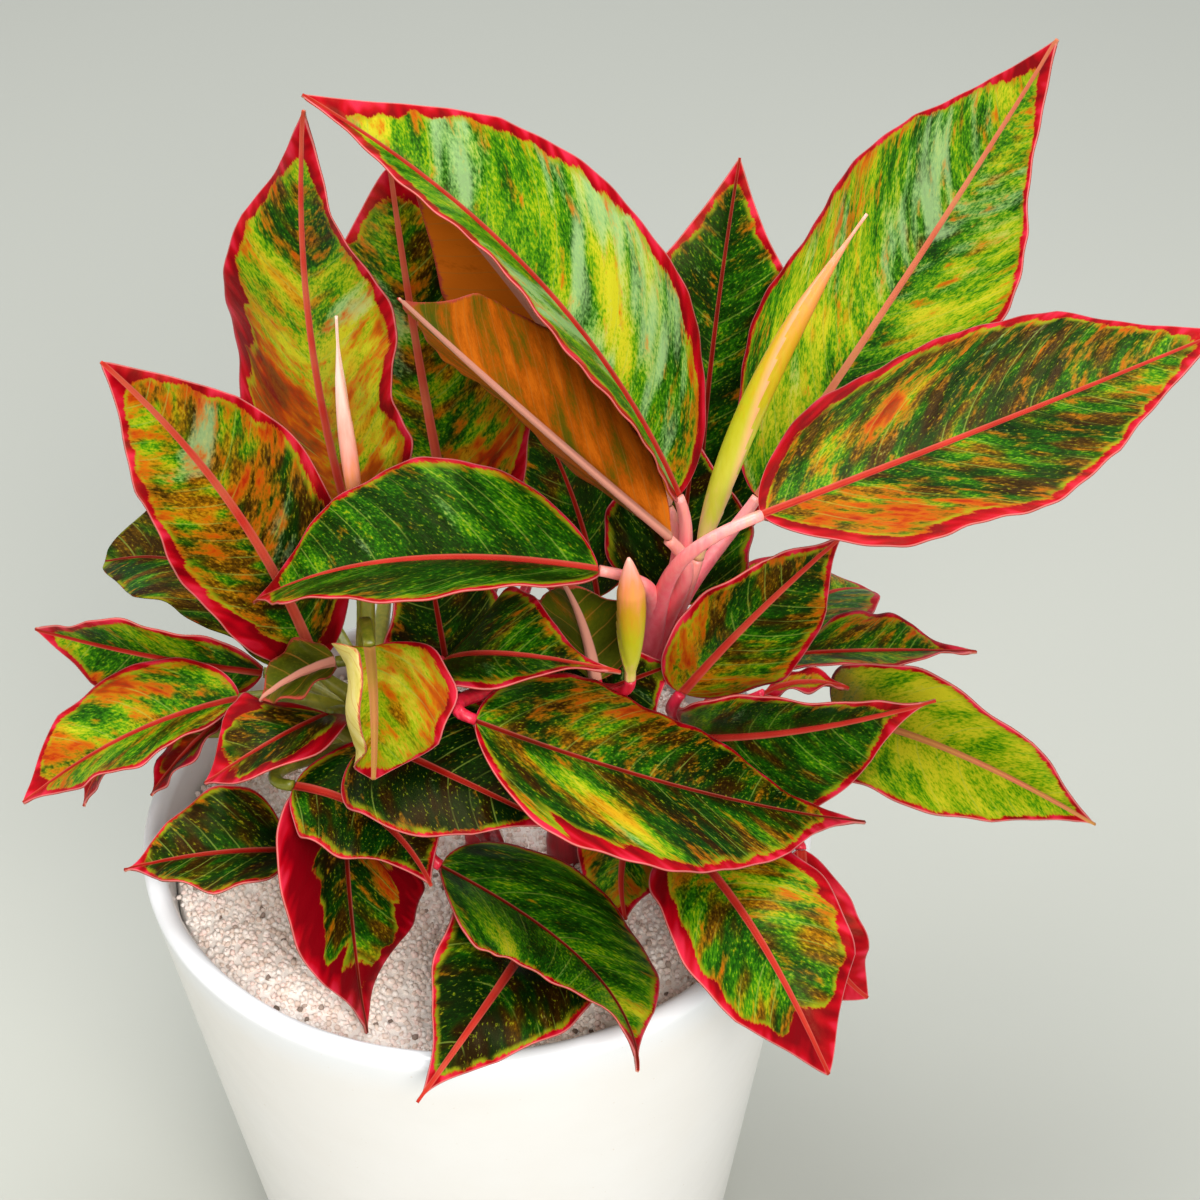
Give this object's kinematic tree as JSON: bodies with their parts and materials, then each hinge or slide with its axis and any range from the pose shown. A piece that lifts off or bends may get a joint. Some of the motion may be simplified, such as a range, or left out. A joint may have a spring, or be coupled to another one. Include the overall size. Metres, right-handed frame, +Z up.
{
  "type": "potted chinese evergreen",
  "caption": "Red-edged Chinese evergreen: a clump of short canes with broad pointed leaf blades on stalks, in a tapered glazed planter filled with soil under pale granules",
  "frame": {"origin": "centre of the planter's flat base", "axes": "+Z up along the planter's axis; -Y is the side seen in front in the picture; +X is the picture's right"},
  "size_m": [0.3857, 0.3005, 0.4503],
  "materials": {
    "glazed_planter": "gloss",
    "potting_soil": "matte",
    "pale_granules": "matte",
    "cane_and_stalks": "satin",
    "leaf_blade": "satin",
    "young_leaf": "satin"
  },
  "bodies": {
    "root": {"planter": "glazed_planter", "soil": "potting_soil", "top_dressing": "pale_granules", "stem_right": "cane_and_stalks", "stem_left": "cane_and_stalks", "stem_front": "cane_and_stalks", "stem_side": "cane_and_stalks", "stem_middle": "cane_and_stalks", "stem_back": "cane_and_stalks", "leaf_right_1": "leaf_blade", "leaf_right_2": "leaf_blade", "leaf_right_3": "leaf_blade", "leaf_right_4": "leaf_blade", "leaf_right_5": "leaf_blade", "leaf_right_6": "leaf_blade", "leaf_right_7": "leaf_blade", "leaf_right_8": "leaf_blade", "leaf_right_9": "leaf_blade", "leaf_back_1": "leaf_blade", "leaf_back_2": "leaf_blade", "leaf_back_3": "leaf_blade", "leaf_back_4": "leaf_blade", "leaf_back_5": "leaf_blade", "leaf_back_6": "leaf_blade", "leaf_back_7": "leaf_blade", "leaf_back_8": "leaf_blade", "leaf_back_9": "leaf_blade", "leaf_left_1": "leaf_blade", "leaf_left_2": "leaf_blade", "leaf_left_3": "leaf_blade", "leaf_left_4": "leaf_blade", "leaf_left_5": "leaf_blade", "leaf_left_6": "leaf_blade", "leaf_left_7": "leaf_blade", "leaf_left_8": "leaf_blade", "leaf_left_9": "leaf_blade", "leaf_left_10": "leaf_blade", "leaf_left_11": "leaf_blade", "leaf_left_12": "leaf_blade", "young_leaf_left": "young_leaf", "leaf_front_1": "leaf_blade", "leaf_front_2": "leaf_blade", "leaf_front_3": "leaf_blade", "leaf_front_4": "leaf_blade", "leaf_front_5": "leaf_blade", "leaf_front_6": "leaf_blade", "leaf_front_7": "leaf_blade", "leaf_front_8": "leaf_blade", "leaf_front_9": "leaf_blade", "leaf_side_1": "leaf_blade", "leaf_side_2": "leaf_blade", "leaf_side_3": "leaf_blade", "leaf_side_4": "leaf_blade", "leaf_side_5": "leaf_blade", "leaf_side_6": "leaf_blade", "spear_right": "young_leaf", "spear_left": "young_leaf", "spear_middle": "young_leaf"}
  },
  "joints": []
}
